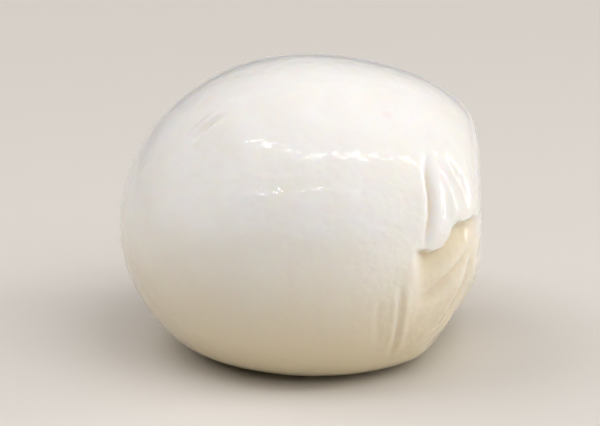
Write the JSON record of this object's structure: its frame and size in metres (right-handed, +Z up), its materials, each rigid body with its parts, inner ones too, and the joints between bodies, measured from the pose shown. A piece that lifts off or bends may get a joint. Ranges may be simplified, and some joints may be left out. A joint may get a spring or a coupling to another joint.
{
  "type": "fior di latte mozzarella",
  "caption": "Hand-shaped ball of fresh mozzarella, settled on a flat base, with the slit, folded flap and pleated hollow of its torn end at the front right.",
  "frame": {"origin": "middle of the ball's width and depth, on the surface its flat base stands on", "axes": "+Z up, -Y towards the viewer, +X along the ball's longest side towards its torn end"},
  "size_m": [0.0629, 0.0616, 0.0521],
  "materials": {
    "fresh_cheese": "moist milk-white fresh cheese with a thin film of whey, faintly rippled, slightly translucent"
  },
  "bodies": {
    "root": {"mozzarella_ball": "fresh_cheese"}
  },
  "joints": []
}
